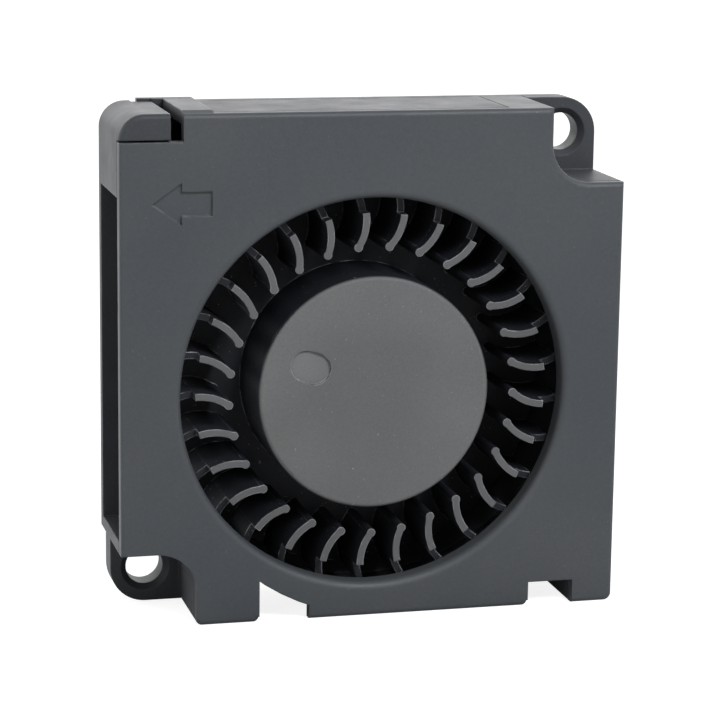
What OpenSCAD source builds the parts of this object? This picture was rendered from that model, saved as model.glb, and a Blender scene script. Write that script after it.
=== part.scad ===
// Square centrifugal blower: a scroll housing with a side outlet, an inlet cover on
// snap legs, a drum impeller with curved blades, and a four-pole outer-rotor motor.
// The modules work in a plan frame: x to the right, y up, z from the back face
// (0) to the inlet face (depth). stand() turns that frame upright for every node.

/* [Housing] */
// Width of the housing, from the outlet face to the opposite side
body_w = 40; // [39.5:0.5:44]
// Height of the housing
body_h = 40; // [39.5:0.5:44]
// Depth of the housing along the shaft
depth = 10; // [9.8:0.1:12]
// Thickness of the floor of the base
floor_t = 1; // [0.9:0.05:1.2]
// Thickness of the plate of the cover
cover_t = 1; // [0.8:0.05:1.1]
// Thickness of the outer walls and of the scroll wall
wall_t = 0.9; // [0.8:0.05:1]
// Radius of the free corner beside the outlet
corner_r = 2; // [1.5:0.1:2.5]
// Radius of the corner diagonally across from it
foot_corner_r = 0.6; // [0.45:0.05:0.8]
// Rounding along the front edges of the cover
edge_r = 0.4; // [0.2:0.05:0.5]
// Height of the rotor's axis above the bottom edge
axis_y = 18; // [17.5:0.1:18.5]
// Height of the outlet's upper edge above the bottom edge
outlet_top = 33.65; // [32:0.05:35]

/* [Ears] */
// Distance of an ear's hole from the two edges beside it
ear_inset = 2.8; // [2.6:0.1:3]
// Radius of an ear's hole
ear_hole_r = 1.5; // [1.3:0.05:1.7]
// Thickness of an ear
ear_t = 2.3; // [1.6:0.1:3]
// Radius kept clear round an ear's hole for a screw head
ear_clear_r = 3.1; // [2.9:0.05:3.3]
// How far the lower ear is set in from the outlet face
ear_step = 0.35; // [0:0.05:0.5]
// Width of the chamfer at the mouth of an ear's hole
ear_chamfer = 0.45; // [0.2:0.05:0.6]

/* [Cover] */
// Radius of the inlet
inlet_r = 15.3; // [15:0.05:15.4]
// Rounding of the inlet's rim
inlet_round = 0.6; // [0.3:0.05:0.7]
// Depth of the lip inside the inlet, from the front face
lip_depth = 1.6; // [1.3:0.1:1.8]
// Thickness of that lip
lip_t = 0.8; // [0.6:0.05:0.85]
// Thickness of a snap leg
leg_t = 0.85; // [0.7:0.05:0.85]
// How far the barb of a snap leg reaches under its catch
barb_reach = 0.5; // [0.3:0.05:0.6]
// Gap between the cover's legs and the base
leg_gap = 0.14; // [0.06:0.02:0.16]
// How far the first leg and the floor behind it stand proud of the top wall
leg_rise = 0.2; // [0.1:0.05:0.25]
// Depth of the sunk arrow and of the gate mark on the hub
mark_depth = 0.2; // [0.1:0.05:0.3]

/* [Impeller] */
// Number of blades
blade_count = 29; // [21:1:33]
// Thickness of a blade
blade_t = 0.55; // [0.4:0.05:0.6]
// Radius of the impeller
impeller_r = 15.5; // [15.3:0.05:15.6]
// Radius at which the blades begin
blade_in_r = 11.45; // [11:0.05:11.8]
// Radius at which the blades step down under the cover's lip
step_r = 14.05; // [13.6:0.05:14.3]
// Radius of the circular arc of a blade
blade_curve_r = 4; // [3.6:0.1:6]
// Angle between a blade and the radius at its inner edge
blade_angle = 39; // [30:1:42]
// Radius of the bead along a blade's inner edge
bead_r = 0.34; // [0.3:0.02:0.4]
// How far the blades stay below the front face
blade_recess = 0.8; // [0.6:0.05:1]
// Height of the step in the blades
step_drop = 1.25; // [1.1:0.05:2]
// Radius of the hub
hub_r = 9.25; // [9.2:0.05:9.6]
// Wall of the hub
hub_wall = 0.6; // [0.5:0.05:0.6]
// Thickness of the hub's flat cap
hub_cap_t = 0.8; // [0.6:0.05:0.9]
// How far the hub stays below the front face
hub_recess = 0.2; // [0.15:0.05:0.4]
// Rounding of the hub's front edge
hub_round = 0.35; // [0.2:0.05:0.45]
// Thickness of the disc that carries the blades
disc_t = 0.8; // [0.5:0.05:0.9]
// Running gap between that disc and the floor
disc_gap = 0.9; // [0.4:0.05:1]

/* [Motor] */
// Radius of the shaft
shaft_r = 0.75; // [0.7:0.01:0.8]
// Running clearance of the shaft in its sleeve, on the radius
shaft_play = 0.03; // [0.02:0.01:0.05]
// Radius of the sleeve bearing
sleeve_r = 2.08; // [1.9:0.02:2.1]
// Length of the sleeve bearing
sleeve_l = 4.5; // [4:0.1:4.6]
// Wall of the brass tube round the sleeve bearing
tube_wall = 0.5; // [0.4:0.05:0.55]
// Wall of the steel yoke
yoke_t = 0.55; // [0.45:0.05:0.6]
// Radial thickness of the ring magnet
magnet_t = 1.1; // [0.9:0.05:1.2]
// Gap between the magnet and the stator's pole faces
air_gap = 0.32; // [0.3:0.02:0.45]
// Thickness of a lamination
lamination_t = 0.5; // [0.4:0.05:0.5]
// Width of a pole's neck
neck_w = 2; // [1.8:0.1:2.2]
// Thickness of an insulator over the core
insulator_t = 0.3; // [0.25:0.05:0.35]
// Thickness of the winding round a neck
winding_t = 0.75; // [0.6:0.05:0.8]
// Thickness of the circuit board
board_t = 0.6; // [0.5:0.05:0.6]

/* [Hidden] */
$fn = 96;

// Small amounts: past is how far a cut runs past a face, fit is a pressed fit's gap.
past = 1;
fit = 0.02;

// Levels along the shaft
seam_z = depth - cover_t;
hub_top = depth - hub_recess;
hub_under = hub_top - hub_cap_t;
disc_z = floor_t + disc_gap;
blade_top = depth - blade_recess;
step_top = blade_top - step_drop;

// Places of the ears, the scroll and the outlet
ear_x = body_w / 2 - ear_inset;
ear_y = body_h - ear_inset;
cut_side = ear_inset + ear_clear_r;
scroll_bottom_r = axis_y - wall_t;
scroll_side_r = body_w / 2 - wall_t;
scroll_top_r = body_h - wall_t - axis_y;
outlet_bottom = cut_side + wall_t;
duct_start_x = -2;

// Notches in the bottom edge: where the leads leave, and a clip notch
lead_notch_x = [-9.1, -5.1];
lead_notch_end = -2.6;
clip_notch_x = [12.9, 16.6];
clip_notch_h = 1.95;
notch_corner_r = 0.45;

// Fine groove round the base where it meets the cover
seam_w = 0.08;
seam_h = 0.12;

// Corner block beside the outlet and the slot that lets the first leg bend
block_w = 3.95;
block_side = -body_w / 2 + block_w;
block_h = 1.95;
block_gap = 0.15;
block_front = depth - 0.15;
slot_w = 0.95;

// Snap legs: [edge, distance along it, width, how far it stands proud of the wall];
// edges are "top", "right", "bottom"
first_leg_w = 2.4;
first_leg_x = -body_w / 2 + block_w + slot_w + first_leg_w / 2;
second_leg_w = 3.4;
LEGS = [
    ["top", first_leg_x, first_leg_w, leg_rise],
    ["top", body_w / 2 - cut_side - second_leg_w / 2, second_leg_w, 0],
    ["right", 5.6, 3, 0],
    ["bottom", (lead_notch_x[0] - body_w / 2 + cut_side) / 2, 2.3, 0],
];
catch_z = floor_t + 1.2;
catch_h = 1;
catch_t = 0.8;
catch_side = 0.3;

// Bearing and stator
tube_in_r = sleeve_r + fit;
tube_r = tube_in_r + tube_wall;
well_floor = 0.6;
boss_r = tube_r + fit + 0.6;
boss_h = 1.4;
pad_t = 0.3;
shaft_end = well_floor + pad_t + 0.05;
shaft_top = hub_top - 0.4;
groove_r = shaft_r - 0.25;
washer_z = shaft_end + 0.5;
washer_t = 0.4;
sleeve_z = washer_z + washer_t + 0.15;
tube_top = sleeve_z + sleeve_l + 0.55;
yoke_r = hub_r - hub_wall - fit;
magnet_r = yoke_r - yoke_t - fit;
magnet_in_r = magnet_r - magnet_t;
pole_r = magnet_in_r - air_gap;
pole_face_t = 0.9;
pole_in_r = pole_r - pole_face_t;
core_r = 3.4;
guard_t = 0.3;
guard_h = 0.9;
coil_gap = 0.03;
coil_half_w = neck_w / 2 + insulator_t + coil_gap + winding_t;
coil_in_r = core_r + guard_t + coil_gap;
coil_out_r = sqrt(pow(pole_in_r, 2) - pow(coil_half_w, 2)) - 0.05;
rest_turn = 2.9;

// Circuit board, and the small parts on it: [radius, angle, width, length, height]
board_z = floor_t + 0.25;
board_r = yoke_r - 0.5;
board_top = board_z + board_t;
part_h = 0.6;
part_r = board_r - 1.8;
lead_t = 0.15;
CHIP = [part_r - 0.1, 75, 1.6, 2.9, part_h];
DIODE = [part_r - 0.2, 160, 1.2, 1.7, part_h];
CAPACITOR = [part_r, 200, 0.8, 1.6, 0.5];
RESISTORS = [[part_r, 295, 0.8, 1.6, 0.4], [part_r, 325, 0.8, 1.6, 0.4]];
pin_r = 0.22;
pin_place_r = 4.5;

// Levels of the motor: the stack fills what the board and the yoke leave free
yoke_z = board_top + 0.45;
magnet_z = yoke_z + 0.5;
magnet_top = hub_under - yoke_t - 0.3;
stator_low = board_top + part_h + 0.5;
stator_high = hub_under - fit - yoke_t - 0.58;
stack_room = stator_high - stator_low - 2 * (insulator_t + guard_h);
lamination_count = floor(stack_room / lamination_t + 0.01);
core_h = lamination_count * lamination_t;
core_z = (stator_low + stator_high - core_h) / 2;
lead_slot_r = 7;
lead_slot_w = 2.4;
lead_angle = 180 + atan2(axis_y - 2, -(lead_notch_x[0] + lead_notch_x[1]) / 2);

// ---------------------------------------------------------------- frames

// Stands the plan frame upright: the inlet faces -Y, and the bottom edge is at z = 0.
module stand() {
    translate([0, depth / 2, 0]) rotate([90, 0, 0]) children();
}

// The rotor's axis in the plan frame.
module on_axis(z = 0) {
    translate([0, axis_y, z]) children();
}

// The same shape at the upper right and, turned half round, at the lower left.
module upper_corner() {
    children();
}

module lower_corner(step = 0) {
    translate([step, body_h / 2]) rotate(180) translate([0, -body_h / 2]) children();
}

// The point of an edge that a snap leg belongs to, with the edge's outside along +y.
module on_edge(leg) {
    if (leg[0] == "top") translate([leg[1], body_h]) children();
    if (leg[0] == "right") translate([body_w / 2, leg[1]]) rotate(-90) children();
    if (leg[0] == "bottom") translate([leg[1], 0]) rotate(180) children();
}

// ---------------------------------------------------------------- outlines

function mix(a, b, t) = a + (b - a) * t;

// Radius of the scroll at an angle: it touches the bottom, right and top walls.
function scroll_r(a) = a < 360
    ? mix(scroll_bottom_r, scroll_side_r, (a - 270) / 90)
    : mix(scroll_side_r, scroll_top_r, (a - 360) / 90);

module scroll(grow = 0) {
    polygon([
        [0, axis_y],
        for (a = [200:5:450]) (scroll_r(a) + grow) * [cos(a), sin(a)] + [0, axis_y]
    ]);
}

// The way from the scroll to the outlet, with a roof that falls in a smooth curve.
module duct(grow = 0) {
    top = axis_y + scroll_top_r;
    run = body_w / 2 + duct_start_x;
    polygon([
        [-body_w / 2 - past, outlet_bottom - grow],
        [0, outlet_bottom - grow],
        [0, top + grow],
        for (t = [0:1 / 14:1.001])
            [duct_start_x - run * t,
             mix(top, outlet_top, (1 - cos(180 * t)) / 2) + grow],
        [-body_w / 2 - past, outlet_top + grow],
    ]);
}

module flow(grow = 0) {
    scroll(grow);
    duct(grow);
}

// The free corner round an ear's hole, which the cover and the walls leave clear.
module ear_cut(grow = 0) {
    r = ear_clear_r + grow;
    reach = ear_inset + past;
    translate([ear_x, ear_y]) {
        circle(r);
        translate([-r, 0]) square([r + reach, reach]);
        translate([0, -r]) square([reach, r + reach]);
    }
}

// Under the scroll wall, from the notch's left side to end_x.
module lead_notch(end_x, grow = 0) {
    left = lead_notch_x[0] - grow;
    difference() {
        translate([left, -past]) square([end_x + grow - left, 5]);
        scroll(wall_t - grow);
    }
}

module clip_notch(grow = 0) {
    w = clip_notch_x[1] - clip_notch_x[0];
    translate([clip_notch_x[0] - grow, -past])
        square([w + 2 * grow, clip_notch_h + grow + past]);
}

// What to take off the bottom edge at x, beside which the material lies on one side.
module corner_off(x, side) {
    r = notch_corner_r;
    translate([x, 0]) difference() {
        translate([side > 0 ? -past : -r, -past]) square(r + past);
        translate([side * r, r]) circle(r);
    }
}

module rounded_square(inset = 0) {
    w = body_w - 2 * inset;
    h = body_h - 2 * inset;
    free_r = corner_r - inset;
    foot_r = max(foot_corner_r - inset, 0.05);
    translate([-w / 2, inset]) {
        difference() {
            square([w, h]);
            translate([-past, h - free_r]) square([free_r + past, free_r + past]);
            translate([w - foot_r, -past]) square([foot_r + past, foot_r + past]);
        }
        translate([free_r, h - free_r]) circle(free_r);
        translate([w - foot_r, foot_r]) circle(foot_r);
    }
}

module outline(inset = 0, lead_end = lead_notch_end) {
    difference() {
        rounded_square(inset);
        upper_corner() ear_cut(inset);
        lower_corner() ear_cut(inset);
        lead_notch(lead_end, inset);
        clip_notch(inset);
        corner_off(lead_notch_x[0] - inset, -1);
        corner_off(clip_notch_x[0] - inset, -1);
        corner_off(cut_side - body_w / 2 + inset, 1);
    }
}

// ---------------------------------------------------------------- base

// Hollows between the scroll wall and the outer walls, one in each corner.
module pockets() {
    intersection() {
        difference() {
            outline(wall_t);
            flow(wall_t);
        }
        union() {
            translate([9, 0]) square([body_w, 10.5]);
            translate([8, body_h - 12]) square([body_w, 12]);
            translate([-body_w / 2, outlet_top]) square([15, body_h]);
            translate([-body_w / 2 + cut_side, 0]) square([5, 4.6]);
        }
    }
}

module ear(step = 0) {
    r = ear_clear_r + wall_t;
    difference() {
        linear_extrude(ear_t) intersection() {
            translate([ear_x, ear_y]) {
                circle(ear_inset);
                translate([-r, -r]) square([r + ear_inset, r]);
                translate([-r, 0]) square([r, ear_inset]);
            }
            translate([-step, 0]) ear_cut(wall_t / 2);
        }
        translate([ear_x, ear_y, -past]) cylinder(r = ear_hole_r, h = ear_t + 2 * past);
        translate([ear_x, ear_y, ear_t - ear_chamfer])
            cylinder(r1 = ear_hole_r, r2 = ear_hole_r + 2 * ear_chamfer, h = 2 * ear_chamfer);
    }
}

// The bar behind a snap leg that its barb catches under, and the room for the leg.
module catch_bar(leg) {
    w = leg[2] + 2 * (leg_gap + catch_side);
    on_edge(leg) translate([-w / 2, -wall_t - catch_t, catch_z])
        cube([w, catch_t + wall_t / 2, catch_h]);
}

module leg_window(leg) {
    w = leg[2] + 2 * leg_gap;
    barb_room = leg_t + barb_reach + leg_gap;
    on_edge(leg) translate([-w / 2, 0, floor_t]) {
        translate([0, -wall_t, 0]) cube([w, wall_t + past, depth]);
        translate([0, -barb_room, 0]) cube([w, barb_room, catch_z - floor_t]);
    }
}

// The block in the free corner, with its own rounded front edge.
module corner_block() {
    turn = [-body_w / 2 + corner_r, body_h - corner_r];
    intersection() {
        linear_extrude(block_front) rounded_square();
        translate([-body_w / 2, body_h - block_h, 0]) cube([block_w, block_h, depth]);
        union() {
            translate([-body_w / 2, body_h - block_h, 0])
                cube([block_w, block_h, block_front - edge_r]);
            translate([turn[0], turn[1], 0]) rotate_extrude()
                rounded_profile(corner_r, block_front, edge_r);
            translate([turn[0], turn[1], 0]) rotate([90, 0, 90]) linear_extrude(block_w)
                rounded_profile(corner_r, block_front, edge_r);
        }
    }
}

// Half section of a disc with a rounded upper rim, for a revolve or an extrusion.
module rounded_profile(r, h, round_r) {
    square([r - round_r, h]);
    square([r, h - round_r]);
    translate([r - round_r, h - round_r]) intersection() {
        circle(round_r);
        square(round_r);
    }
}

module board_rests() {
    for (a = [30, 150, 270])
        on_axis() rotate(a) translate([board_r - 0.8, 0, floor_t / 2])
            cylinder(r = 0.5, h = board_z - floor_t / 2);
}

// On the back: a shallow round seat, and the channel in which the leads lie.
module back_recesses() {
    seat_depth = 0.15;
    channel_depth = 0.5;
    on_axis(-past) cylinder(r = hub_r, h = past + seat_depth);
    on_axis(-past) rotate(lead_angle) translate([lead_slot_r, -lead_slot_w / 2, 0])
        cube([12, lead_slot_w, past + channel_depth]);
    on_axis(-past) rotate(lead_angle) translate([lead_slot_r - 0.8, -lead_slot_w / 2, 0])
        cube([1.6, lead_slot_w, 2 * past + floor_t]);
}

// Behind the first leg the floor stands proud of the top wall, as the leg does.
module raised_floor() {
    translate([block_side - 1.05, body_h - wall_t, 0])
        cube([first_leg_x + first_leg_w / 2 - block_side + 1.05, wall_t + leg_rise, floor_t]);
}

// The seam cuts along the free corner and the top wall.
module corner_cuts() {
    slit_z = floor_t - 0.2;
    translate([block_side - 1.55, body_h - 0.5, -past]) cube([0.5, past, past + floor_t]);
    translate([block_side - 1.05, body_h - block_h - block_gap, slit_z])
        cube([1.1, block_h + block_gap + past, 0.3]);
    translate([block_side - 0.01, body_h - wall_t, floor_t])
        cube([slot_w + leg_gap, wall_t + past, depth]);
    translate([first_leg_x + first_leg_w, body_h - 0.08, floor_t])
        cube([body_w - 2 * cut_side - second_leg_w - 3.2, past, 0.12]);
}

module seam_groove() {
    translate([0, 0, seam_z - seam_h]) linear_extrude(past) difference() {
        translate([-body_w, -past]) square([2 * body_w, body_h + 2 * past]);
        outline(seam_w);
    }
}

module base_housing() color("#2e3034") {
    difference() {
        union() {
            linear_extrude(floor_t) outline();
            difference() {
                linear_extrude(seam_z) difference() {
                    outline();
                    flow();
                    pockets();
                }
                seam_groove();
            }
            upper_corner() ear();
            intersection() {
                lower_corner(ear_step) ear(ear_step);
                translate([-body_w / 2, 0, 0]) cube([body_w, cut_side + wall_t / 2, ear_t]);
            }
            for (leg = LEGS) catch_bar(leg);
            corner_block();
            raised_floor();
            on_axis() cylinder(r = boss_r, h = floor_t + boss_h);
            board_rests();
        }
        for (leg = LEGS) leg_window(leg);
        corner_cuts();
        back_recesses();
        on_axis(well_floor) cylinder(r = tube_r + fit, h = depth);
    }
}

// ---------------------------------------------------------------- cover

// What to take off along a straight front edge from p to q, with the plate on its left.
module edge_round(p, q, r = edge_r) {
    d = q - p;
    translate([p[0], p[1], depth - r]) rotate(atan2(d[1], d[0])) translate([-r, 0, 0])
        rotate([90, 0, 90]) linear_extrude(norm(d) + 2 * r) difference() {
            translate([-past, 0]) square([past + r, r + past]);
            translate([r, 0]) circle(r);
        }
}

// The same round a concave quarter circle.
module hollow_round(centre, r, from) {
    translate([centre[0], centre[1], depth - edge_r]) rotate(from)
        rotate_extrude(angle = 90) translate([r, 0]) difference() {
            translate([-edge_r, 0]) square([2 * edge_r, edge_r + past]);
            translate([edge_r, 0]) circle(edge_r);
        }
}

// The same round a corner of radius r that stands out.
module corner_round(centre, r, from) {
    translate([centre[0], centre[1], depth - edge_r]) rotate(from)
        rotate_extrude(angle = 90) translate([r - edge_r, 0]) difference() {
            square(edge_r + past);
            circle(edge_r);
        }
}

module cover_edges() {
    w = body_w / 2;
    side = w - cut_side;
    r = notch_corner_r;
    corner_round([lead_notch_x[0] - r, r], r, 270);
    corner_round([clip_notch_x[0] - r, r], r, 270);
    corner_round([r - side, r], r, 180);
    corner_round([w - foot_corner_r, foot_corner_r], foot_corner_r, 270);
    edge_round([-side, 0], [lead_notch_x[0], 0]);
    edge_round([lead_notch_x[1], 0], [clip_notch_x[0], 0]);
    edge_round([clip_notch_x[1], 0], [w, 0]);
    edge_round([w, 0], [w, body_h - cut_side]);
    edge_round([w + edge_r, body_h - cut_side], [ear_x + edge_r, body_h - cut_side]);
    edge_round([side, ear_y + edge_r], [side, body_h]);
    edge_round([w, body_h], [-w, body_h]);
    edge_round([-w, body_h], [-w, cut_side], edge_r / 2);
    hollow_round([ear_x, ear_y], ear_clear_r, 180);
}

module arrow() {
    tip = [-body_w / 2 + 2.5, outlet_top - 0.45];
    head = [2.25, 1.6];
    shaft = [4.6, 0.93];
    translate(tip) polygon([
        [0, 0], [head[0], -head[1]], [head[0], -shaft[1]], [shaft[0], -shaft[1]],
        [shaft[0], shaft[1]], [head[0], shaft[1]], [head[0], head[1]],
    ]);
}

module snap_leg(leg) {
    inner = leg_t + barb_reach;
    tip_z = floor_t + 0.08;
    barb_z = catch_z - leg_gap;
    on_edge(leg) {
        translate([-leg[2] / 2, 0, 0]) rotate([90, 0, 90]) linear_extrude(leg[2])
            polygon([[leg[3], tip_z], [leg[3], seam_z], [0, depth - edge_r],
                     [-leg_t, depth - edge_r], [-leg_t, barb_z], [-inner, barb_z],
                     [-inner, barb_z - 0.25], [-leg_t, tip_z]]);
    }
}

module inlet_lip() {
    on_axis(depth - lip_depth) difference() {
        cylinder(r = inlet_r + lip_t, h = lip_depth - cover_t / 2);
        translate([0, 0, -past]) cylinder(r = inlet_r, h = depth);
    }
}

module inlet_mouth() {
    on_axis() rotate_extrude() difference() {
        square([inlet_r + inlet_round, depth + past]);
        translate([inlet_r, 0]) square([inlet_round + past, depth - inlet_round]);
        translate([inlet_r + inlet_round, depth - inlet_round]) circle(inlet_round);
    }
}

module front_cover() color("#3a3d42") {
    difference() {
        union() {
            translate([0, 0, seam_z]) linear_extrude(cover_t)
                outline(lead_end = lead_notch_x[1]);
            inlet_lip();
            for (leg = LEGS) snap_leg(leg);
        }
        inlet_mouth();
        cover_edges();
        translate([0, 0, depth - mark_depth]) linear_extrude(past) arrow();
        translate([-body_w / 2 - past, body_h - block_h - block_gap, 0])
            cube([past + block_w + slot_w, block_h + block_gap + past, depth + past]);
    }
}

// ---------------------------------------------------------------- impeller

// Centre of a blade's arc, for a blade whose inner edge lies at blade_in_r on +x.
blade_centre = [blade_in_r, 0] + blade_curve_r * [sin(blade_angle), cos(blade_angle)];
blade_start = 270 - blade_angle;

// Angle along the arc at which a blade reaches a radius from the rotor's axis.
function blade_end(r, a = blade_start) =
    norm(blade_centre + blade_curve_r * [cos(a), sin(a)]) >= r ? a : blade_end(r, a + 0.5);

module blade(outer_r) {
    stop = blade_end(outer_r);
    steps = 10;
    side = blade_t / 2;
    arc = [for (i = [0:steps]) mix(blade_start, stop, i / steps)];
    polygon([
        for (a = arc) blade_centre + (blade_curve_r + side) * [cos(a), sin(a)],
        for (i = [steps:-1:0])
            blade_centre + (blade_curve_r - side) * [cos(arc[i]), sin(arc[i])],
    ]);
}

module blades(outer_r, top) {
    translate([0, 0, disc_z]) linear_extrude(top - disc_z)
        for (i = [0:blade_count - 1]) rotate(i * 360 / blade_count - rest_turn) {
            blade(outer_r);
            translate([blade_in_r, 0]) circle(bead_r, $fn = 16);
        }
}

module hub_shell() {
    rotate_extrude() difference() {
        rounded_profile(hub_r, hub_top, hub_round);
        square([hub_r - hub_wall, hub_under]);
        translate([0, -past]) square([body_w, disc_z + past]);
    }
}

// Shallow round-ended mark left by the moulding gate, off centre on the hub.
module gate_mark() {
    half = 0.35;
    end_r = 1.25;
    translate([-5.1, 2.2, hub_top - mark_depth]) rotate(-20) linear_extrude(past) {
        for (x = [-half, half]) translate([x, 0]) circle(end_r);
        translate([-half, -end_r]) square([2 * half, 2 * end_r]);
    }
}

module impeller() color("#24262a") on_axis() {
    hub_in = hub_r - hub_wall;
    boss_out = shaft_r + 1.15;
    difference() {
        union() {
            hub_shell();
            translate([0, 0, disc_z]) difference() {
                cylinder(r = impeller_r, h = disc_t);
                translate([0, 0, -past]) cylinder(r = hub_in, h = depth);
            }
            blades(step_r, blade_top);
            blades(impeller_r, step_top);
            translate([0, 0, tube_top + 0.3])
                cylinder(r = boss_out, h = hub_under - tube_top);
        }
        cylinder(r = shaft_r + fit, h = shaft_top + fit);
        gate_mark();
    }
}

// ---------------------------------------------------------------- rotor

module rotor_yoke() color("#8f9296") on_axis() {
    top = hub_under - fit;
    difference() {
        rotate_extrude() rounded_profile(yoke_r, top, 0.4);
        translate([0, 0, -past]) cylinder(r = yoke_r - yoke_t, h = top - yoke_t + past);
        translate([0, 0, -past]) cylinder(r = yoke_r + past, h = yoke_z + past);
        cylinder(r = shaft_r + 1.15 + fit, h = depth);
    }
}

module ring(r_out, r_in, z, h) {
    translate([0, 0, z]) difference() {
        cylinder(r = r_out, h = h);
        translate([0, 0, -past]) cylinder(r = r_in, h = h + 2 * past);
    }
}

module ring_magnet() color("#3b3836") on_axis()
    ring(magnet_r, magnet_in_r, magnet_z, magnet_top - magnet_z);

module shaft() color("#c4c7cb") on_axis() {
    tip = 0.15;
    rotate_extrude() polygon([
        [0, shaft_end], [shaft_r - tip, shaft_end], [shaft_r, shaft_end + tip],
        [shaft_r, washer_z - 0.05], [groove_r, washer_z - 0.05],
        [groove_r, washer_z + washer_t + 0.05], [shaft_r, washer_z + washer_t + 0.05],
        [shaft_r, shaft_top - tip], [shaft_r - tip, shaft_top], [0, shaft_top],
    ]);
}

module oil_washer() color("#e6e2d6") on_axis()
    ring(sleeve_r - 0.4, shaft_r + fit, sleeve_z + sleeve_l + 0.1, 0.25);

// ---------------------------------------------------------------- bearing

module bearing_tube() color("#c9a24a") on_axis()
    ring(tube_r, tube_in_r, well_floor, tube_top - well_floor);

module sleeve_bearing() color("#a5713c") on_axis() {
    bevel = 0.2;
    bore = shaft_r + shaft_play;
    rotate_extrude() polygon([
        [bore, sleeve_z], [sleeve_r - bevel, sleeve_z], [sleeve_r, sleeve_z + bevel],
        [sleeve_r, sleeve_z + sleeve_l - bevel], [sleeve_r - bevel, sleeve_z + sleeve_l],
        [bore, sleeve_z + sleeve_l],
    ]);
}

// Split nylon washer: it lets the groove of the shaft snap in and holds it there.
module retaining_washer() color("#efece2") on_axis() {
    slit = 0.35;
    difference() {
        ring(sleeve_r - 0.03, groove_r + 0.05, washer_z, washer_t);
        translate([0, -slit / 2, 0]) cube([sleeve_r + past, slit, depth]);
    }
}

module thrust_pad() color("#d8d5c8") on_axis(well_floor) cylinder(r = 1.3, h = pad_t);

// ---------------------------------------------------------------- stator

module lamination() {
    slot = 1.5;
    difference() {
        union() {
            circle(core_r);
            difference() {
                circle(pole_r);
                circle(pole_r - pole_face_t);
                for (a = [45:90:315]) rotate(a) translate([0, -slot / 2]) square([pole_r + past, slot]);
            }
            for (a = [0, 90]) rotate(a)
                square([2 * (pole_r - pole_face_t / 2), neck_w], center = true);
        }
        circle(tube_r + fit);
    }
}

module stator_core() color("#6f757c") on_axis(core_z)
    for (i = [0:lamination_count - 1])
        translate([0, 0, i * lamination_t]) linear_extrude(lamination_t) lamination();

// One insulator: a thin cover over the core's end, side cheeks on the necks, and
// low walls that keep each winding in place. It lies on z = 0 and points up.
module insulator() {
    cheek = neck_w + 2 * insulator_t;
    half_core = core_h / 2 - 0.01;
    guard_r = coil_out_r + coil_gap;
    linear_extrude(insulator_t) difference() {
        union() {
            circle(core_r + guard_t);
            for (a = [0, 90]) rotate(a)
                square([2 * (guard_r + guard_t), cheek], center = true);
        }
        circle(tube_r + fit);
    }
    for (a = [0:90:270]) rotate(a) {
        for (r = [core_r, guard_r])
            translate([r, -cheek / 2 - 0.4, 0]) cube([guard_t, cheek + 0.8, insulator_t + guard_h]);
        for (side = [-1, 1])
            translate([core_r + 0.2, side * (neck_w / 2 + fit) - (side < 0 ? insulator_t - fit : 0),
                       -half_core])
                cube([guard_r - core_r - 0.2, insulator_t - fit, half_core + insulator_t]);
    }
}

module front_insulator() color("#d9d4c2") on_axis(core_z + core_h) insulator();

module rear_insulator() color("#d9d4c2") on_axis(core_z) rotate([180, 0, 0]) insulator();

module rounded_rect(w, h, r) {
    square([w - 2 * r, h], center = true);
    square([w, h - 2 * r], center = true);
    for (x = [-1, 1], y = [-1, 1]) translate([x * (w / 2 - r), y * (h / 2 - r)]) circle(r, $fn = 24);
}

// A winding round one neck, at an angle from +x.
module coil(angle) color("#b4622d") on_axis(core_z + core_h / 2) rotate(angle) {
    hole_w = 2 * (coil_half_w - winding_t);
    hole_h = core_h + 2 * (insulator_t + coil_gap);
    translate([coil_in_r, 0, 0]) rotate([90, 0, 90]) linear_extrude(coil_out_r - coil_in_r)
        difference() {
            rounded_rect(2 * coil_half_w, hole_h + 2 * winding_t, winding_t);
            square([hole_w, hole_h], center = true);
        }
}

// ---------------------------------------------------------------- circuit

module at_pins() {
    for (a = [45:90:315]) rotate(a) translate([pin_place_r, 0, 0]) children();
}

module winding_pins() color("#c8cacc") on_axis()
    at_pins() translate([0, 0, board_z - 0.1]) cylinder(r = pin_r, h = core_z - board_z - 0.5, $fn = 24);

module circuit_board() color("#2f6b3c") on_axis(board_z) difference() {
    cylinder(r = board_r, h = board_t);
    translate([0, 0, -past]) cylinder(r = boss_r + 0.1, h = 3 * past);
    translate([0, 0, -past]) at_pins() cylinder(r = pin_r + fit, h = 3 * past, $fn = 24);
    rotate(lead_angle) translate([board_r - 0.6, -1.2, -past]) cube([3, 2.4, 3 * past]);
}

// A small part on the board: its body, raised by lift, and on the board its place.
module on_board(part) {
    on_axis(board_top) rotate(part[1]) translate([part[0], 0, 0]) children();
}

module part_body(part, lift = 0) {
    translate([-part[2] / 2, -part[3] / 2, lift]) cube([part[2], part[3], part[4] - lift]);
}

module driver_chip() color("#1b1b1d") on_board(CHIP) {
    part_body(CHIP, 0.05);
    for (y = [-0.95, 0, 0.95], side = [-1, 1])
        translate([side * (CHIP[2] / 2 + 0.25) - 0.3, y - 0.2, 0]) cube([0.6, 0.4, lead_t]);
}

module diode() color("#26262a") on_board(DIODE) {
    part_body(DIODE, 0.05);
    for (side = [-1, 1])
        translate([-0.3, side * (DIODE[3] / 2 + 0.1) - 0.2, 0]) cube([0.6, 0.4, lead_t]);
}

module capacitor() color("#b08d57") on_board(CAPACITOR) part_body(CAPACITOR);

module resistors() color("#17181a")
    for (part = RESISTORS) on_board(part) part_body(part);

// ---------------------------------------------------------------- nodes

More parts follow.
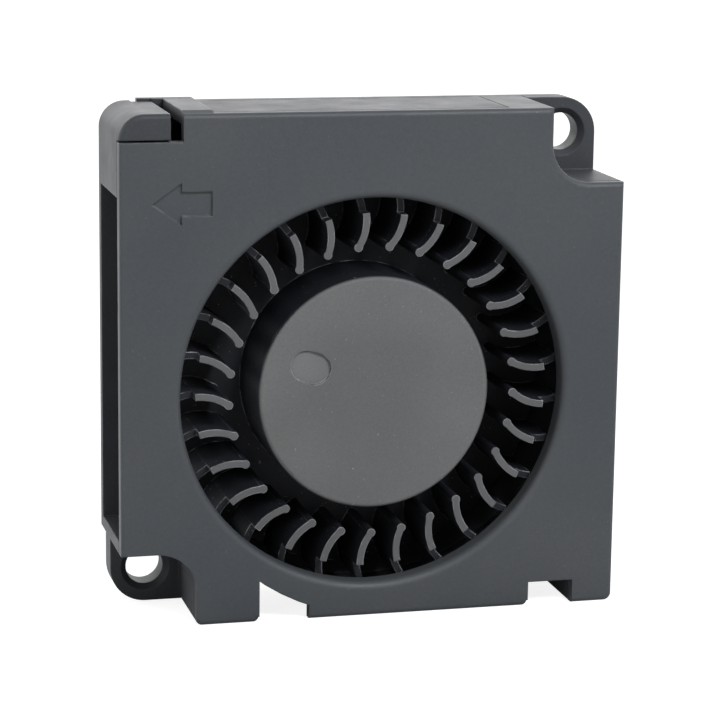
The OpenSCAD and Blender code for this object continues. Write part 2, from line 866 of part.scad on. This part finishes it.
stand() base_housing();
stand() front_cover();
stand() impeller();
stand() rotor_yoke();
stand() ring_magnet();
stand() shaft();
stand() oil_washer();
stand() bearing_tube();
stand() sleeve_bearing();
stand() retaining_washer();
stand() thrust_pad();
stand() stator_core();
stand() front_insulator();
stand() rear_insulator();
stand() coil(0);  // coil_right
stand() coil(90);  // coil_top
stand() coil(180);  // coil_left
stand() coil(270);  // coil_bottom
stand() winding_pins();
stand() circuit_board();
stand() driver_chip();
stand() diode();
stand() capacitor();
stand() resistors();
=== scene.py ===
# A small square blower, dressed for the camera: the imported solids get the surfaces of
# moulded plastic, steel, bronze, copper and laminate, and the windings and solder
# joints are modelled piece by piece.
import math

import bpy
from mathutils import Matrix, Vector


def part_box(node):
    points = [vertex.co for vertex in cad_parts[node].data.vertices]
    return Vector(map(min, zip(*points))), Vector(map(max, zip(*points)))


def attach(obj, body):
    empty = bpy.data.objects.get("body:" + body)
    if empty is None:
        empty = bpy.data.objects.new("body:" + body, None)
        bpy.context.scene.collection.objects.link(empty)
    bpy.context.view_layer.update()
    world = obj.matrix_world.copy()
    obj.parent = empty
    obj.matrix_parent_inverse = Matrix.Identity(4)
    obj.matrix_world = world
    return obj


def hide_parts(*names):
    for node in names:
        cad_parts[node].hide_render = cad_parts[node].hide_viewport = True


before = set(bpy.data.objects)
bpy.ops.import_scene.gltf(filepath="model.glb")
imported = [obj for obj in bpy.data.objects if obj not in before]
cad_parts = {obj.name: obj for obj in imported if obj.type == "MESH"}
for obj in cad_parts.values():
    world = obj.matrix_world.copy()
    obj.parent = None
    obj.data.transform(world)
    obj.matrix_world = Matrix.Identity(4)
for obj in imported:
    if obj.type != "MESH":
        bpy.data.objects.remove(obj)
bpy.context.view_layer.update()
bpy.ops.object.select_all(action="DESELECT")

# ---- Camera ------------------------------------------------------------------
# A long lens a hand's width and a half away, a little to the outlet's side of the
# blower and a little above it, so that the front, the top and the outlet edge show.
camera_place = Vector((-0.05143, -0.20173, 0.06324))
camera_target = Vector((-0.00126, -0.005, 0.0207))
look = (camera_target - camera_place).normalized()
right = Vector((0.9696, -0.2445, 0.0128)).normalized()
upright = right.cross(look).normalized()
right = look.cross(upright)
bpy.ops.object.camera_add(location=camera_place)
camera = bpy.context.object
camera.name = "camera"
camera.rotation_euler = Matrix((right, upright, -look)).transposed().to_euler()
camera.data.sensor_width = 36
camera.data.lens = 133.9
camera.data.clip_start = 0.01
bpy.context.scene.camera = camera
bpy.context.scene.view_settings.view_transform = "Standard"

# ---- Floor and world ---------------------------------------------------------
# A seamless sweep: white to the eye and in reflections, and a grey sheet to the light
# that it scatters. The blower's shadow stays on it, and under the blower a painted shadow,
# an oval the size of the footprint, makes it show dark in the plastic's reflections.
footprint = (0.022, 0.009)
paper_glow = 0.85

def node(tree, kind, inputs=None, **settings):
    made = tree.nodes.new("ShaderNode" + kind)
    for key, value in settings.items():
        setattr(made, key, value)
    for key, value in (inputs or {}).items():
        if isinstance(value, bpy.types.NodeSocket):
            tree.links.new(value, made.inputs[key])
        else:
            made.inputs[key].default_value = value
    return made

def between(tree, value, low, high, to_low=0.0, to_high=1.0):
    return node(tree, "MapRange", {"Value": value, "From Min": low, "From Max": high,
                                   "To Min": to_low, "To Max": to_high}).outputs["Result"]

def maths(tree, how, first, second=0.0):
    made = node(tree, "Math", operation=how)
    for index, value in ((0, first), (1, second)):
        if isinstance(value, bpy.types.NodeSocket):
            tree.links.new(value, made.inputs[index])
        else:
            made.inputs[index].default_value = value
    return made.outputs[0]

def seen_rays(tree):
    path = node(tree, "LightPath").outputs
    seen = maths(tree, "MAXIMUM", path["Is Camera Ray"], path["Is Glossy Ray"])
    return path["Is Camera Ray"], maths(tree, "MAXIMUM", seen, path["Is Transmission Ray"])

bpy.ops.mesh.primitive_plane_add(size=6, location=(0, 0, 0))
floor = bpy.context.object
floor.name = "floor"
paper = bpy.data.materials.new("floor_paper")
paper.use_nodes = True
tree = paper.node_tree
paper_diffuse = tree.nodes["Principled BSDF"]
paper_diffuse.inputs["Base Color"].default_value = (0.5, 0.5, 0.5, 1)
paper_diffuse.inputs["Roughness"].default_value = 0.9
paper_diffuse.inputs["Specular IOR Level"].default_value = 0
spot = node(tree, "TexCoord").outputs["Object"]
scaled = node(tree, "VectorMath", {0: spot, 1: (1 / footprint[0], 1 / footprint[1], 0)},
              operation="MULTIPLY").outputs[0]
reach = node(tree, "VectorMath", {0: scaled}, operation="LENGTH").outputs["Value"]
# painted shadow: in reflections the paper inside the footprint's oval glows less, and not at all near
# its centre
outside_painted_shadow = between(tree, reach, 0.8, 1.6)
to_camera, seen = seen_rays(tree)
shown = maths(tree, "MULTIPLY", seen, maths(tree, "MAXIMUM", outside_painted_shadow, to_camera))
glow = node(tree, "Emission", {"Strength": maths(tree, "MULTIPLY", shown, paper_glow)})
both = node(tree, "AddShader", {0: paper_diffuse.outputs[0], 1: glow.outputs[0]})
tree.links.new(both.outputs[0], tree.nodes["Material Output"].inputs["Surface"])
floor.data.materials.append(paper)

world = bpy.data.worlds.new("studio")
bpy.context.scene.world = world
world.use_nodes = True
tree = world.node_tree
sky = tree.nodes["Background"]
sky.inputs["Color"].default_value = (0.93, 0.97, 1.0, 1)
sky.inputs["Strength"].default_value = 0.2
white = node(tree, "Background", {"Color": (1, 1, 1, 1), "Strength": 1.0})
seen = seen_rays(tree)[1]
sky_or_white = node(tree, "MixShader", {"Fac": seen, 1: sky.outputs[0], 2: white.outputs[0]})
tree.links.new(sky_or_white.outputs[0], tree.nodes["World Output"].inputs["Surface"])

# ---- Lamps -------------------------------------------------------------------
# A soft box above and in front to the right, a wide one low behind the blower that
# skims its top, one behind at the left for the outlet's side, and a weak fill.
def soft_box(name, place, aim, size, power, colour):
    bpy.ops.object.light_add(type="AREA", location=place)
    lamp = bpy.context.object
    lamp.name = name
    lamp.data.shape = "RECTANGLE"
    lamp.data.size, lamp.data.size_y = size
    lamp.data.energy = power
    lamp.data.color = colour
    lamp.rotation_euler = (Vector(aim) - Vector(place)).to_track_quat("-Z", "Y").to_euler()

soft_box("key", (0.09, -0.20, 0.22), (0, 0, 0.03), (0.13, 0.09), 0.80, (0.92, 0.96, 1.0))
soft_box("skim", (0.12, 0.62, 0.22), (0, 0, 0.03), (1.0, 0.3), 1.7, (1.0, 1.0, 1.0))
soft_box("side", (-0.34, 0.14, 0.10), (-0.02, 0, 0.02), (0.2, 0.2), 0.75, (1.0, 1.0, 1.0))
soft_box("fill", (-0.30, -0.32, 0.16), (0, 0, 0.02), (0.2, 0.2), 0.3, (1.0, 0.99, 0.95))

# ---- Base housing ------------------------------------------------------------
# The base is injection moulded in black glass-filled PBT from a spark-eroded tool,
# which leaves a fine even grain. Edges and corners are painted lighter: partly wear
# from handling, partly a painted highlight where they would catch the light.
def finish(name, roughness=0.5, metallic=0.0, specular=0.5):
    made = bpy.data.materials.new(name)
    made.use_nodes = True
    shader = made.node_tree.nodes["Principled BSDF"]
    shader.inputs["Roughness"].default_value = roughness
    shader.inputs["Metallic"].default_value = metallic
    shader.inputs["Specular IOR Level"].default_value = specular
    place = node(made.node_tree, "TexCoord").outputs["Object"]
    return made, made.node_tree, shader, place

def noise(tree, place, size, detail=2.0, rough=0.5):
    return node(tree, "TexNoise", {"Vector": place, "Scale": 1 / size, "Detail": detail,
                                   "Roughness": rough}).outputs["Fac"]

def mixed(tree, share, first, second, how="MIX"):
    made = node(tree, "Mix", data_type="RGBA", blend_type=how)
    for index, value in ((0, share), (6, first), (7, second)):
        if isinstance(value, bpy.types.NodeSocket):
            tree.links.new(value, made.inputs[index])
        else:
            made.inputs[index].default_value = value
    return made.outputs[2]

def greys(tree, level):
    return node(tree, "CombineColor", {"Red": level, "Green": level, "Blue": level}).outputs[0]

def soft_normal(tree, radius):
    return node(tree, "Bevel", {"Radius": radius}, samples=6).outputs["Normal"]

# edge mask: it lightens edges both as handling wear and as a painted highlight
def worn_and_highlit_edges(tree, soft):
    flat = node(tree, "NewGeometry").outputs["Normal"]
    along = node(tree, "VectorMath", {0: soft, 1: flat}, operation="DOT_PRODUCT").outputs["Value"]
    return maths(tree, "SUBTRACT", 1.0, along)

def dress(names, material):
    for name in names:
        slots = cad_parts[name].data.materials
        slots.clear()
        slots.append(material)

def moulded_plastic(name, dark, light, edge_wear_and_highlight, roughness, grain=0.00011, depth=0.000004,
                    specular=0.3, edge=0.00018, tint=None):
    made, tree, shader, place = finish(name, roughness, specular=specular)
    soft = soft_normal(tree, edge)
    rim = worn_and_highlit_edges(tree, soft)
    cloud = between(tree, noise(tree, place, 0.014, 2), 0.35, 0.65)
    colour = mixed(tree, cloud, (*dark, 1), (*light, 1))
    fleck = between(tree, noise(tree, place, grain * 1.6, 1), 0.3, 0.7, 0.94, 1.06)
    colour = mixed(tree, 1.0, colour, greys(tree, fleck), "MULTIPLY")
    if tint:
        colour = tint(tree, place, colour)
    patch = between(tree, noise(tree, place, 0.0012, 3, 0.6), 0.4, 0.7)
    # painted highlight and wear: the edges, in patches, and dust specks take the light edge colour
    wear_dust_and_highlight = maths(tree, "MULTIPLY", between(tree, rim, 0.005, 0.12), patch)
    dust = between(tree, noise(tree, place, 0.00022, 1), 0.74, 0.79, 0.0, 0.4)
    wear_dust_and_highlight = maths(tree, "MAXIMUM", wear_dust_and_highlight, dust)
    colour = mixed(tree, wear_dust_and_highlight, colour, (*edge_wear_and_highlight, 1))
    tree.links.new(colour, shader.inputs["Base Color"])
    gloss = between(tree, noise(tree, place, 0.003, 4, 0.65), 0.3, 0.7,
                    roughness - 0.05, roughness + 0.06)
    tree.links.new(maths(tree, "SUBTRACT", gloss, maths(tree, "MULTIPLY", wear_dust_and_highlight, 0.12)),
                   shader.inputs["Roughness"])
    bump = node(tree, "Bump", {"Height": noise(tree, place, grain, 2, 0.6), "Distance": depth,
                               "Strength": 1.0, "Normal": soft})
    tree.links.new(bump.outputs[0], shader.inputs["Normal"])
    return made

mark_rim = 0.00004
mark_depth = 0.00006

def ejector_marks(material, places, radius, back):
    tree = material.node_tree
    shader = tree.nodes["Principled BSDF"]
    place = node(tree, "TexCoord").outputs["Object"]
    on_back = between(tree, node(tree, "SeparateXYZ", {0: place}).outputs["Y"],
                      back - 0.0002, back - 0.0001)
    marks = 0.0
    for x, z in places:
        away = node(tree, "VectorMath", {0: place, 1: (x, back, z)},
                    operation="DISTANCE").outputs["Value"]
        marks = maths(tree, "MAXIMUM", marks, between(tree, away, radius + mark_rim, radius))
    before = shader.inputs["Normal"].links[0].from_socket
    bump = node(tree, "Bump", {"Height": maths(tree, "MULTIPLY", marks, on_back),
                               "Distance": mark_depth, "Normal": before}, invert=True)
    tree.links.new(bump.outputs[0], shader.inputs["Normal"])

base_plastic = moulded_plastic("base_plastic", (0.040, 0.042, 0.047), (0.050, 0.052, 0.057),
                               (0.10, 0.10, 0.105), 0.48, specular=0.15)
ejector_marks(base_plastic, [(-0.0165, 0.0125), (-0.0165, 0.0315), (0.0030, 0.0365),
                             (0.0168, 0.0250), (0.0168, 0.0090), (0.0040, 0.0040)],
              0.0009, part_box("base_housing")[1][1])
dress(["base_housing"], base_plastic)

# ---- Front cover -------------------------------------------------------------
# The cover comes from another cavity of the same resin. Its plate is a shade lighter
# and cooler, and its four legs are the same moulding as the plate.
cover_plastic = moulded_plastic("cover_plastic", (0.047, 0.051, 0.056), (0.058, 0.061, 0.065),
                                (0.11, 0.112, 0.118), 0.5)
dress(["front_cover"], cover_plastic)

# ---- Impeller ----------------------------------------------------------------
# A separate moulding of black resin, with light and shade painted into its colour: the faces
# towards the front, the hub's cap and the ends of the blades, are painted lighter as if lit,
# and the flanks and the deeper faces get a painted shade. Its edges are painted much lighter
# in patches: a painted highlight as well as wear. Along y the cap's face lies at -0.0048, the
# blades' ends at -0.0042 and their steps at -0.00295.
sunk_front, sunk_back = -0.00472, -0.00462
cap_level, cap_end = -0.0046, -0.0045
step_level = -0.0031
# painted shade: the dark colour given to the flanks and the deep faces
painted_shade_colour = (0.010, 0.011, 0.014, 1)

def painted_depth_light(tree, place, colour):
    facing = node(tree, "SeparateXYZ", {0: node(tree, "NewGeometry").outputs["True Normal"]})
    depth = node(tree, "SeparateXYZ", {0: place}).outputs["Y"]
    torn = between(tree, depth, sunk_front, sunk_back, 1.0, 1.25)
    colour = mixed(tree, 1.0, colour, greys(tree, torn), "MULTIPLY")
    # painted light and shade: faces towards the front are painted lighter, and flanks and deeper
    # faces fade to the painted shade colour. The hub's cap is painted a quarter lighter still.
    front = maths(tree, "MULTIPLY", between(tree, facing.outputs["Y"], -0.5, -0.95),
                  between(tree, depth, step_level, cap_level, 0.05, 0.8))
    front = maths(tree, "MULTIPLY", front, between(tree, depth, cap_end, cap_level, 1.0, 1.25))
    return mixed(tree, front, painted_shade_colour, colour)

impeller_plastic = moulded_plastic("impeller_plastic", (0.122, 0.120, 0.119),
                                   (0.152, 0.150, 0.148), (0.42, 0.42, 0.44), 0.56,
                                   grain=0.00009, edge=0.00015, specular=0.15,
                                   tint=painted_depth_light)
dress(["impeller"], impeller_plastic)

# ---- Rotor yoke --------------------------------------------------------------
# A cup deep-drawn from steel strip and zinc plated. It is pressed into the hub and
# carries the magnet. A wave texture of scale 1 repeats once in every wave_period.
axis_height = 0.018
wave_period = 0.314

def around_axis(tree, place):
    return node(tree, "Mapping", {"Vector": place, "Location": (0, 0, -axis_height)}).outputs[0]

def turned_metal(name, colour, tint, roughness, pitch=0.00008, depth=0.000002):
    made, tree, shader, place = finish(name, roughness, metallic=1.0)
    soft = soft_normal(tree, 0.0001)
    centred = around_axis(tree, place)
    rings = node(tree, "TexWave", {"Vector": centred, "Scale": wave_period / pitch, "Distortion": 1.5,
                                   "Detail": 2.0}, wave_type="RINGS",
                 rings_direction="Y").outputs["Fac"]
    cloud = between(tree, noise(tree, place, 0.003, 3), 0.35, 0.65)
    tree.links.new(mixed(tree, cloud, (*colour, 1), (*tint, 1)), shader.inputs["Base Color"])
    tree.links.new(between(tree, noise(tree, place, 0.0009, 4), 0.3, 0.7, roughness - 0.06,
                           roughness + 0.08), shader.inputs["Roughness"])
    bump = node(tree, "Bump", {"Height": rings, "Distance": depth, "Strength": 0.6,
                               "Normal": soft})
    tree.links.new(bump.outputs[0], shader.inputs["Normal"])
    return made

dress(["rotor_yoke"], turned_metal("yoke_steel", (0.52, 0.53, 0.54), (0.60, 0.60, 0.58), 0.34))

# ---- Ring magnet -------------------------------------------------------------
# Bonded ferrite: powder in nylon, moulded as a ring that sits inside the yoke. It is
# dark and dull, with a fine pitted surface.
def gritty(name, dark, light, roughness, grain, depth, metallic=0.0):
    made, tree, shader, place = finish(name, roughness, metallic)
    soft = soft_normal(tree, 0.0001)
    spots = between(tree, noise(tree, place, grain, 4, 0.7), 0.35, 0.65)
    tree.links.new(mixed(tree, spots, (*dark, 1), (*light, 1)), shader.inputs["Base Color"])
    tree.links.new(between(tree, spots, 0, 1, roughness + 0.08, roughness - 0.08),
                   shader.inputs["Roughness"])
    bump = node(tree, "Bump", {"Height": spots, "Distance": depth, "Strength": 0.8,
                               "Normal": soft})
    tree.links.new(bump.outputs[0], shader.inputs["Normal"])
    return made

dress(["ring_magnet"], gritty("bonded_ferrite", (0.035, 0.032, 0.03), (0.07, 0.064, 0.06), 0.66,
                              0.00012, 0.000005))

# ---- Shaft -------------------------------------------------------------------
# Hardened stainless steel, ground between centres. It is pressed into the hub's boss and
# has a groove near its back end for the retaining washer.
dress(["shaft"], turned_metal("shaft_steel", (0.62, 0.62, 0.63), (0.68, 0.68, 0.67), 0.18,
                              pitch=0.00004, depth=0.0000006))

# ---- Oil washer, retaining washer and thrust pad -------------------------------
# Small natural nylon pieces, a little translucent and waxy. The two washers ride on the
# shaft, and the pad lies at the bottom of the bearing tube.
nylon, tree, shader, place = finish("nylon", 0.42)
milky = between(tree, noise(tree, place, 0.0007, 3), 0.3, 0.7)
tree.links.new(mixed(tree, milky, (0.72, 0.69, 0.60, 1), (0.80, 0.78, 0.70, 1)),
               shader.inputs["Base Color"])
shader.inputs["Subsurface Weight"].default_value = 0.2
shader.inputs["Subsurface Scale"].default_value = 0.0004
soft = soft_normal(tree, 0.00006)
bump = node(tree, "Bump", {"Height": noise(tree, place, 0.00012, 3), "Distance": 0.000003,
                           "Normal": soft})
tree.links.new(bump.outputs[0], shader.inputs["Normal"])
dress(["oil_washer", "retaining_washer", "thrust_pad"], nylon)

# ---- Bearing tube and sleeve bearing -----------------------------------------
# A drawn brass tube stands in the base and holds an oil-filled bronze sleeve pressed from
# powder. The tube shines, and the sleeve is darker and open-grained.
dress(["bearing_tube"], turned_metal("brass_tube", (0.70, 0.50, 0.20), (0.76, 0.56, 0.26), 0.26))
dress(["sleeve_bearing"], gritty("sintered_bronze", (0.20, 0.10, 0.045), (0.42, 0.24, 0.11), 0.5,
                                 0.00006, 0.000004, metallic=0.8))

# ---- Stator core -------------------------------------------------------------
# Stamped laminations of silicon steel with blued edges, stacked in the motor. The dark
# lines between the sheets follow the thickness of one sheet.
sheet = 0.0005
lamination_steel, tree, shader, place = finish("lamination_steel", 0.45, metallic=0.9)
soft = soft_normal(tree, 0.00004)
sheets = node(tree, "TexWave", {"Vector": place, "Scale": wave_period / sheet, "Distortion": 0.2,
                                "Detail": 1.0}, wave_type="BANDS",
              bands_direction="Y").outputs["Fac"]
blued = between(tree, noise(tree, place, 0.0011, 4), 0.35, 0.7)
colour = mixed(tree, blued, (0.16, 0.17, 0.185, 1), (0.30, 0.31, 0.32, 1))
tree.links.new(mixed(tree, between(tree, sheets, 0.0, 0.2, 0.55, 0.0), colour,
                     (0.03, 0.03, 0.032, 1)), shader.inputs["Base Color"])
bump = node(tree, "Bump", {"Height": sheets, "Distance": 0.00001, "Strength": 0.6,
                           "Normal": soft})
tree.links.new(bump.outputs[0], shader.inputs["Normal"])
dress(["stator_core"], lamination_steel)

# ---- Insulators --------------------------------------------------------------
# Two ivory nylon mouldings that clip over the core from both ends and keep the wire off
# the steel.
insulator_nylon = moulded_plastic("insulator_nylon", (0.62, 0.57, 0.46), (0.70, 0.66, 0.55),
                                  (0.78, 0.75, 0.66), 0.46, edge=0.00008)
dress(["front_insulator", "rear_insulator"], insulator_nylon)

# ---- Coils -------------------------------------------------------------------
# Enamelled copper wire, a layer of close turns round each neck. Every turn is modelled
# as a ridge on a hollow rounded bobbin shape that takes the plain solid's place.
wire = 0.00013
winding_depth = 0.0007
valley = 0.978
coil_corner = 0.00075

enamelled_copper, tree, shader, place = finish("enamelled_copper", 0.28, metallic=0.85)
cloud = between(tree, noise(tree, place, 0.001, 3), 0.3, 0.7)
lacquer = mixed(tree, cloud, (0.58, 0.20, 0.055, 1), (0.72, 0.30, 0.10, 1))
tree.links.new(lacquer, shader.inputs["Base Color"])
bump = node(tree, "Bump", {"Height": noise(tree, place, 0.00007, 2), "Distance": 0.000002})
tree.links.new(bump.outputs[0], shader.inputs["Normal"])

def select_parts(piece, kind, wanted):
    bpy.ops.mesh.select_mode(type=kind)
    bpy.ops.mesh.select_all(action="DESELECT")
    bpy.ops.object.mode_set(mode="OBJECT")
    parts = {"VERT": piece.data.vertices, "EDGE": piece.data.edges,
             "FACE": piece.data.polygons}[kind]
    for part in parts:
        part.select = wanted(part)
    bpy.ops.object.mode_set(mode="EDIT")

def wind(name, along):
    low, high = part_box(name)
    centre = [(a + b) / 2 for a, b in zip(low, high)]
    size = [b - a for a, b in zip(low, high)]
    bpy.ops.mesh.primitive_cube_add(size=1, location=centre, scale=size)
    coil = bpy.context.object
    coil.name = name.replace("coil", "winding")
    bpy.ops.object.transform_apply(location=True, rotation=False, scale=True)

    def lengthwise(edge):
        a, b = (coil.data.vertices[i].co for i in edge.vertices)
        return abs(a[along] - b[along]) > size[along] / 2

    bpy.ops.object.mode_set(mode="EDIT")
    select_parts(coil, "FACE", lambda face: abs(face.normal[along]) > 0.9)
    bpy.ops.mesh.delete(type="ONLY_FACE")
    select_parts(coil, "EDGE", lengthwise)
    bpy.ops.mesh.bevel(offset=coil_corner, segments=5, affect="EDGES")
    select_parts(coil, "EDGE", lengthwise)
    turns = round(size[along] / wire)
    bpy.ops.mesh.subdivide_edgering(number_cuts=2 * turns - 1)
    step = size[along] / (2 * turns)
    select_parts(coil, "VERT", lambda point: round((point.co[along] - low[along]) / step) % 2 == 0)
    bpy.ops.transform.resize(value=[1 if axis == along else valley for axis in range(3)],
                             center_override=centre)
    bpy.ops.mesh.select_all(action="SELECT")
    bpy.ops.mesh.normals_make_consistent(inside=False)
    bpy.ops.object.mode_set(mode="OBJECT")
    wall = coil.modifiers.new("wall", "SOLIDIFY")
    wall.thickness = winding_depth
    wall.offset = -1
    bpy.ops.object.modifier_apply(modifier=wall.name)
    bpy.ops.object.shade_smooth_by_angle(angle=math.radians(60))
    coil.data.materials.append(enamelled_copper)
    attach(coil, "housing")
    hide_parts(name)
    bpy.ops.object.select_all(action="DESELECT")

for name, along in (("coil_right", 0), ("coil_top", 2), ("coil_left", 0), ("coil_bottom", 2)):
    wind(name, along)

# ---- Winding pins ------------------------------------------------------------
# Tinned bronze pins, cut from drawn wire. They stand in the rear insulator and carry the
# wire ends through the board.
dress(["winding_pins"], turned_metal("tinned_pin", (0.62, 0.61, 0.58), (0.70, 0.69, 0.66), 0.3))

# ---- Circuit board -----------------------------------------------------------
# Glass laminate under green solder mask, with copper tracks that show through it. The
# ring-shaped board lies on three rests of the base.
track_pitch = 0.0011

board, tree, shader, place = finish("board_laminate", 0.34)
centred = around_axis(tree, place)
flattened = node(tree, "VectorMath", {0: centred, 1: (1, 0, 1)}, operation="MULTIPLY").outputs[0]
radius = node(tree, "VectorMath", {0: flattened}, operation="LENGTH").outputs["Value"]
tracks = maths(tree, "SINE", maths(tree, "MULTIPLY", radius, 2 * math.pi / track_pitch))
islands = noise(tree, place, 0.0022, 1)
copper = maths(tree, "MULTIPLY", between(tree, tracks, 0.1, 0.25),
               between(tree, islands, 0.42, 0.46))
colour = mixed(tree, copper, (0.012, 0.075, 0.028, 1), (0.03, 0.17, 0.06, 1))
tree.links.new(colour, shader.inputs["Base Color"])
bump = node(tree, "Bump", {"Height": copper, "Distance": 0.00002, "Strength": 0.7})
tree.links.new(bump.outputs[0], shader.inputs["Normal"])
dress(["circuit_board"], board)

# ---- Solder joints -----------------------------------------------------------
# Two low tinned domes on the back of the board, where the leads are soldered: they
# show through the slot in the floor.
exit_left, exit_down = 0.0071, 0.016
joint_reach = 0.0069
joint_spread = 0.00056
dome_radius = 0.00042
dome_flatness = 0.42

solder, tree, shader, place = finish("solder", 0.24, metallic=1.0)
cloud = between(tree, noise(tree, place, 0.0004, 3), 0.3, 0.7)
tree.links.new(mixed(tree, cloud, (0.62, 0.62, 0.60, 1), (0.74, 0.74, 0.73, 1)),
               shader.inputs["Base Color"])
bump = node(tree, "Bump", {"Height": noise(tree, place, 0.00015, 2), "Distance": 0.000006})
tree.links.new(bump.outputs[0], shader.inputs["Normal"])

board_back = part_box("circuit_board")[1][1]
lead_angle = math.radians(180) + math.atan2(exit_down, exit_left)
out_of_axis = Vector((math.cos(lead_angle), 0, math.sin(lead_angle)))
sideways = Vector((-math.sin(lead_angle), 0, math.cos(lead_angle)))
for number, offset in enumerate((-joint_spread, joint_spread), 1):
    foot = (Vector((0, board_back, axis_height)) + joint_reach * out_of_axis
            + offset * sideways)
    bpy.ops.mesh.primitive_uv_sphere_add(segments=24, ring_count=16, radius=dome_radius,
                                         location=foot)
    joint = bpy.context.object
    joint.name = f"solder_joint_{number}"
    bpy.ops.object.transform_apply(location=True, rotation=False, scale=False)
    bpy.ops.object.mode_set(mode="EDIT")
    bpy.ops.mesh.select_all(action="SELECT")
    bpy.ops.transform.resize(value=(1, dome_flatness, 1), center_override=foot)
    bpy.ops.mesh.bisect(plane_co=foot, plane_no=(0, 1, 0), clear_inner=True, use_fill=True,
                        threshold=0.000001)
    bpy.ops.object.mode_set(mode="OBJECT")
    bpy.ops.object.shade_smooth_by_angle(angle=math.radians(50))
    joint.data.materials.append(solder)
    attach(joint, "housing")
    bpy.ops.object.select_all(action="DESELECT")

# ---- Small parts on the board --------------------------------------------------
# The driver chip and the diode are moulded in black resin, and the resistors are chips
# under a black coat. The capacitor is bare brown ceramic.
chip_resin = gritty("chip_resin", (0.018, 0.018, 0.02), (0.035, 0.035, 0.038), 0.5, 0.00008,
                    0.000002)
dress(["driver_chip", "diode", "resistors"], chip_resin)
chip_ceramic = gritty("chip_ceramic", (0.34, 0.24, 0.13), (0.44, 0.33, 0.19), 0.4, 0.0001,
                      0.000002)
dress(["capacitor"], chip_ceramic)
